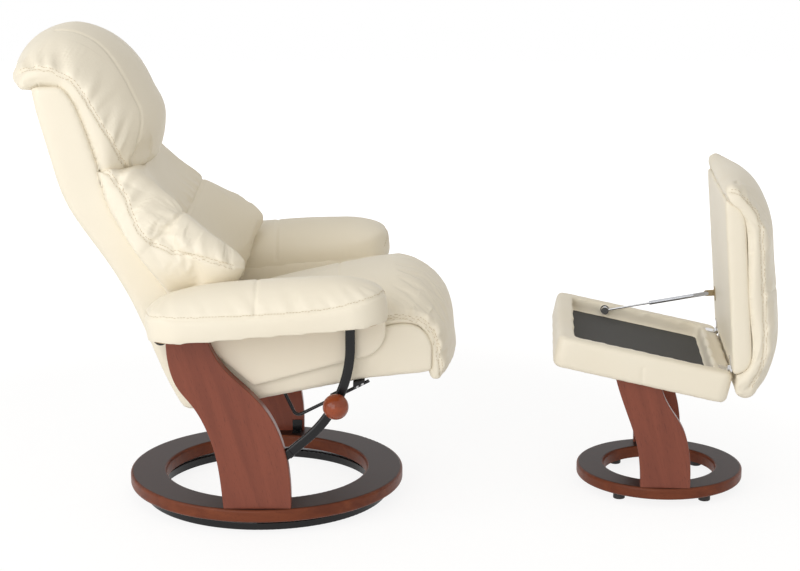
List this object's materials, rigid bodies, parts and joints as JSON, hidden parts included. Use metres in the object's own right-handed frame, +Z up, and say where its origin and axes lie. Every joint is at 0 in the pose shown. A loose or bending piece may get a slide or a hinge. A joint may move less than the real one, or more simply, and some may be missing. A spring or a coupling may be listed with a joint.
{
  "type": "recliner with footstool",
  "caption": "Leather recliner on a bent-wood swivel base with friction knobs, and a matching footstool whose padded lid opens on a strut over a tray.",
  "frame": {"origin": "on the floor, on the chair's swivel axis", "axes": "+X to the front of the chair and on to the stool, +Y to the sitter's left, +Z up"},
  "size_m": [1.6295, 0.802, 1.033],
  "materials": {
    "leather": "soft ivory leather with fine grain and tonal stitching",
    "wood": "red-brown stained wood with satin lacquer",
    "plywood": "plain plywood, hidden under the covers",
    "black_metal": "satin black paint",
    "steel": "plain bright steel",
    "chrome": "polished chrome plate",
    "silver": "satin silver-grey tube",
    "brass": "yellow passivated brass",
    "lining": "dark grey woven lining",
    "foot_plastic": "matt dark plastic glides"
  },
  "bodies": {
    "floor_base": {"floor_ring": "black_metal", "bearing_lower_race": "steel"},
    "bearing": {"bearing_cage": "steel", "bearing_balls": "steel"},
    "chair_frame": {"bearing_upper_race": "steel", "base_ring": "wood", "right_leg": "wood", "left_leg": "wood", "leg_brackets": "black_metal", "right_arm_board": "plywood", "left_arm_board": "plywood", "right_arm_pad": "leather", "left_arm_pad": "leather", "right_apron": "leather", "left_apron": "leather", "right_arm_tube": "black_metal", "left_arm_tube": "black_metal", "tube_ferrules": "black_metal", "right_eye_bolt": "black_metal", "left_eye_bolt": "black_metal", "right_back_bracket": "black_metal", "left_back_bracket": "black_metal", "back_pivot_bushes": "brass"},
    "seat": {"seat_box": "leather", "seat_board": "plywood", "seat_cushion": "leather", "right_rail_rod": "black_metal", "left_rail_rod": "black_metal", "rail_brackets": "black_metal", "rail_bolts": "steel", "seat_hinge_lugs": "black_metal"},
    "back": {"back_shell": "leather", "back_board": "plywood", "back_cushion": "leather", "headrest_pillow": "leather", "back_pivot_pins": "steel", "back_hinge_pins": "steel"},
    "right_knob_body": {"right_knob": "wood", "right_knob_insert": "brass"},
    "left_knob_body": {"left_knob": "wood", "left_knob_insert": "brass"},
    "stool_base": {"stool_ring": "wood", "stool_feet": "foot_plastic", "stool_right_leg": "wood", "stool_left_leg": "wood", "stool_leg_brackets": "black_metal", "stool_tray": "leather", "tray_floor": "lining", "tray_hinge_leaves": "chrome", "lid_hinge_pins": "chrome", "strut_ball_stud": "chrome"},
    "stool_lid": {"lid_panel": "leather", "lid_cushion": "leather", "lid_hinge_leaves": "chrome", "lid_bracket": "brass"},
    "strut_rod_body": {"strut_rod": "chrome"},
    "strut_cylinder_body": {"strut_cylinder": "silver"}
  },
  "joints": [
    {"name": "chair_swivel", "type": "hinge", "parent": "floor_base", "child": "chair_frame", "pos_m": [0, 0, 0], "axis": [0, 0, 1], "continuous": true},
    {"name": "bearing_roll", "type": "hinge", "parent": "floor_base", "child": "bearing", "pos_m": [0, 0, 0], "axis": [0, 0, 1], "continuous": true},
    {"name": "recline", "type": "hinge", "parent": "chair_frame", "child": "back", "pos_m": [-0.196, 0, 0.40799], "axis": [0, -1, 0], "range_deg": [0, 22]},
    {"name": "seat_slide", "type": "slide", "parent": "chair_frame", "child": "seat", "axis": [0.8918, 0, 0.4524], "range_m": [0, 0.05996]},
    {"name": "right_knob_turn", "type": "hinge", "parent": "chair_frame", "child": "right_knob_body", "pos_m": [0.16362, -0.305, 0.27913], "axis": [0, -1, 0], "range_deg": [0, 180]},
    {"name": "left_knob_turn", "type": "hinge", "parent": "chair_frame", "child": "left_knob_body", "pos_m": [0.16362, 0.305, 0.27913], "axis": [0, 1, 0], "range_deg": [0, 180]},
    {"name": "stool_move", "type": "slide", "parent": "floor_base", "child": "stool_base", "axis": [1, 0, 0], "range_m": [0, 0.3]},
    {"name": "lid_hinge", "type": "hinge", "parent": "stool_base", "child": "stool_lid", "pos_m": [1.00763, 0.0441, 0.309], "axis": [0.075, 0.9972, 0], "range_deg": [-73.4, 0]},
    {"name": "strut_pivot", "type": "hinge", "parent": "stool_base", "child": "strut_rod_body", "pos_m": [0.76644, 0.23472, 0.35099], "axis": [0.075, 0.9972, 0], "range_deg": [0, 24.47]},
    {"name": "strut_slide", "type": "slide", "parent": "strut_rod_body", "child": "strut_cylinder_body", "axis": [0.9796, -0.0737, 0.1872], "range_m": [-0.06468, 0]}
  ],
  "couplings": [
    {"joint": "bearing_roll", "follows": "chair_swivel", "ratio": 0.5},
    {"joint": "seat_slide", "follows": "recline", "m_per_rad": 0.15615},
    {"joint": "strut_pivot", "follows": "lid_hinge", "ratio": -0.33343},
    {"joint": "strut_slide", "follows": "lid_hinge", "m_per_rad": 0.05049}
  ]
}
